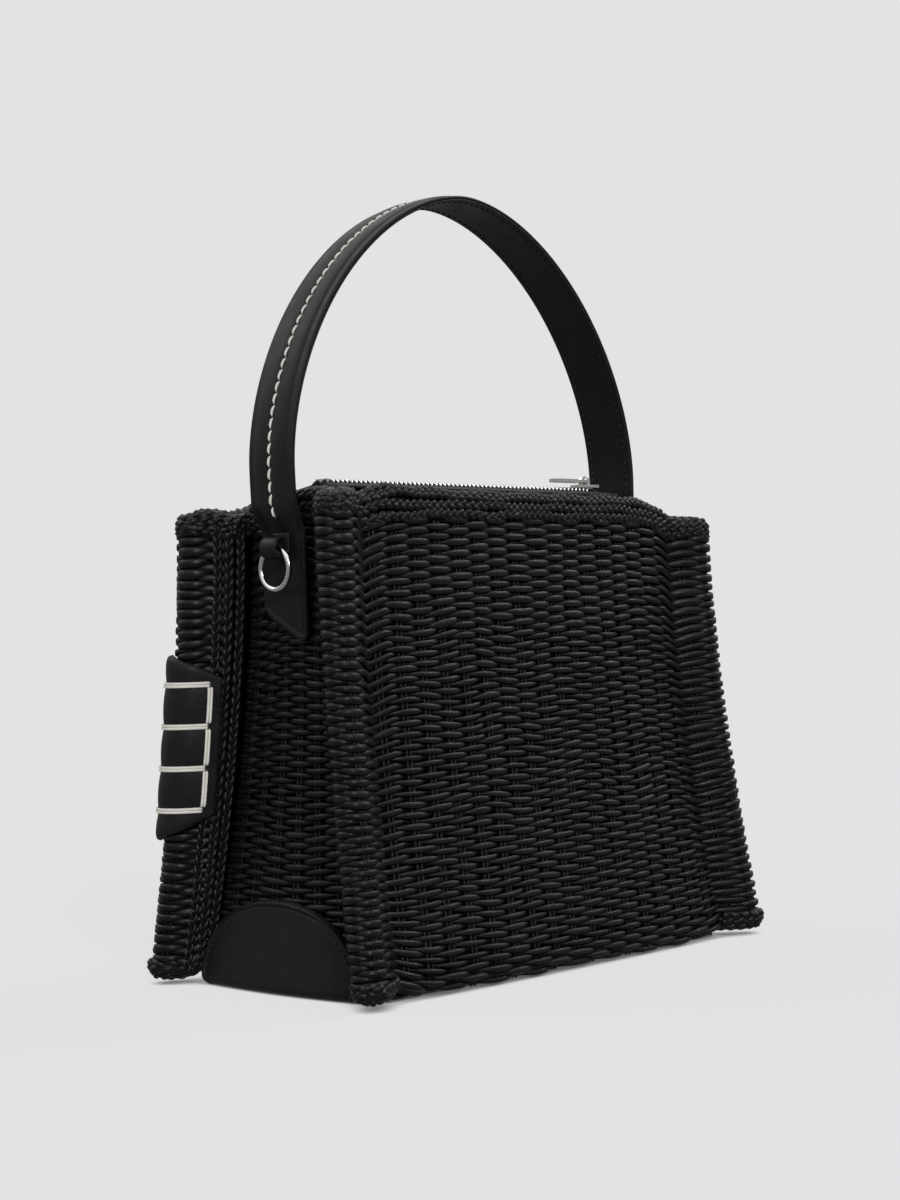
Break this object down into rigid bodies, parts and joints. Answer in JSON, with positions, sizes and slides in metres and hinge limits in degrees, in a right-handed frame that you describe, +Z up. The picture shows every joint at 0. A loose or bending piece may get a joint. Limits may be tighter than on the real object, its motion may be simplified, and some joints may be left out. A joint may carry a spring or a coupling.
{
  "type": "basket box bag",
  "caption": "Woven box bag with folded corner fins, an arched leather handle, leather patches, hanging rings and a zipped top.",
  "frame": {"origin": "on the floor under the middle of the bag", "axes": "+X along the bag, +Y across it towards the back panel, +Z up"},
  "size_m": [0.2481, 0.1334, 0.3225],
  "materials": {
    "wicker": "black stained wicker, satin",
    "leather": "smooth black leather",
    "thread": "waxed cream thread",
    "metal": "polished nickel",
    "cloth": "black cotton"
  },
  "bodies": {
    "bag": {"front_panel": "wicker", "back_panel": "wicker", "left_gusset": "wicker", "right_gusset": "wicker", "base_mat": "wicker", "rim_plait": "wicker", "lining": "cloth", "top_panel_front": "cloth", "top_panel_back": "cloth", "zip_tape_front": "cloth", "zip_tape_back": "cloth", "zip_teeth_front": "metal", "zip_teeth_back": "metal", "zip_stop": "metal", "handle_strap": "leather", "handle_backing": "leather", "left_tab": "leather", "right_tab": "leather", "left_ring_loop": "leather", "right_ring_loop": "leather", "left_foot_patch": "leather", "right_foot_patch": "leather", "fin_wrap": "leather", "fin_lacing": "thread"},
    "slider": {"zip_slider": "metal"},
    "pull": {"zip_pull": "metal"},
    "left_ring": {"left_ring": "metal"},
    "right_ring": {"right_ring": "metal"}
  },
  "joints": [
    {"name": "zip_slide", "type": "slide", "parent": "bag", "child": "slider", "axis": [-1, 0, 0], "range_m": [0, 0.153]},
    {"name": "pull_swing", "type": "hinge", "parent": "slider", "child": "pull", "pos_m": [0.08481, 0, 0.2055], "axis": [0, 1, 0], "range_deg": [0, 120]},
    {"name": "left_ring_swing", "type": "hinge", "parent": "bag", "child": "left_ring", "pos_m": [-0.1051, 0, 0.17438], "axis": [0, 1, 0], "range_deg": [0, 140]},
    {"name": "right_ring_swing", "type": "hinge", "parent": "bag", "child": "right_ring", "pos_m": [0.1051, 0, 0.17438], "axis": [0, -1, 0], "range_deg": [0, 140]}
  ]
}
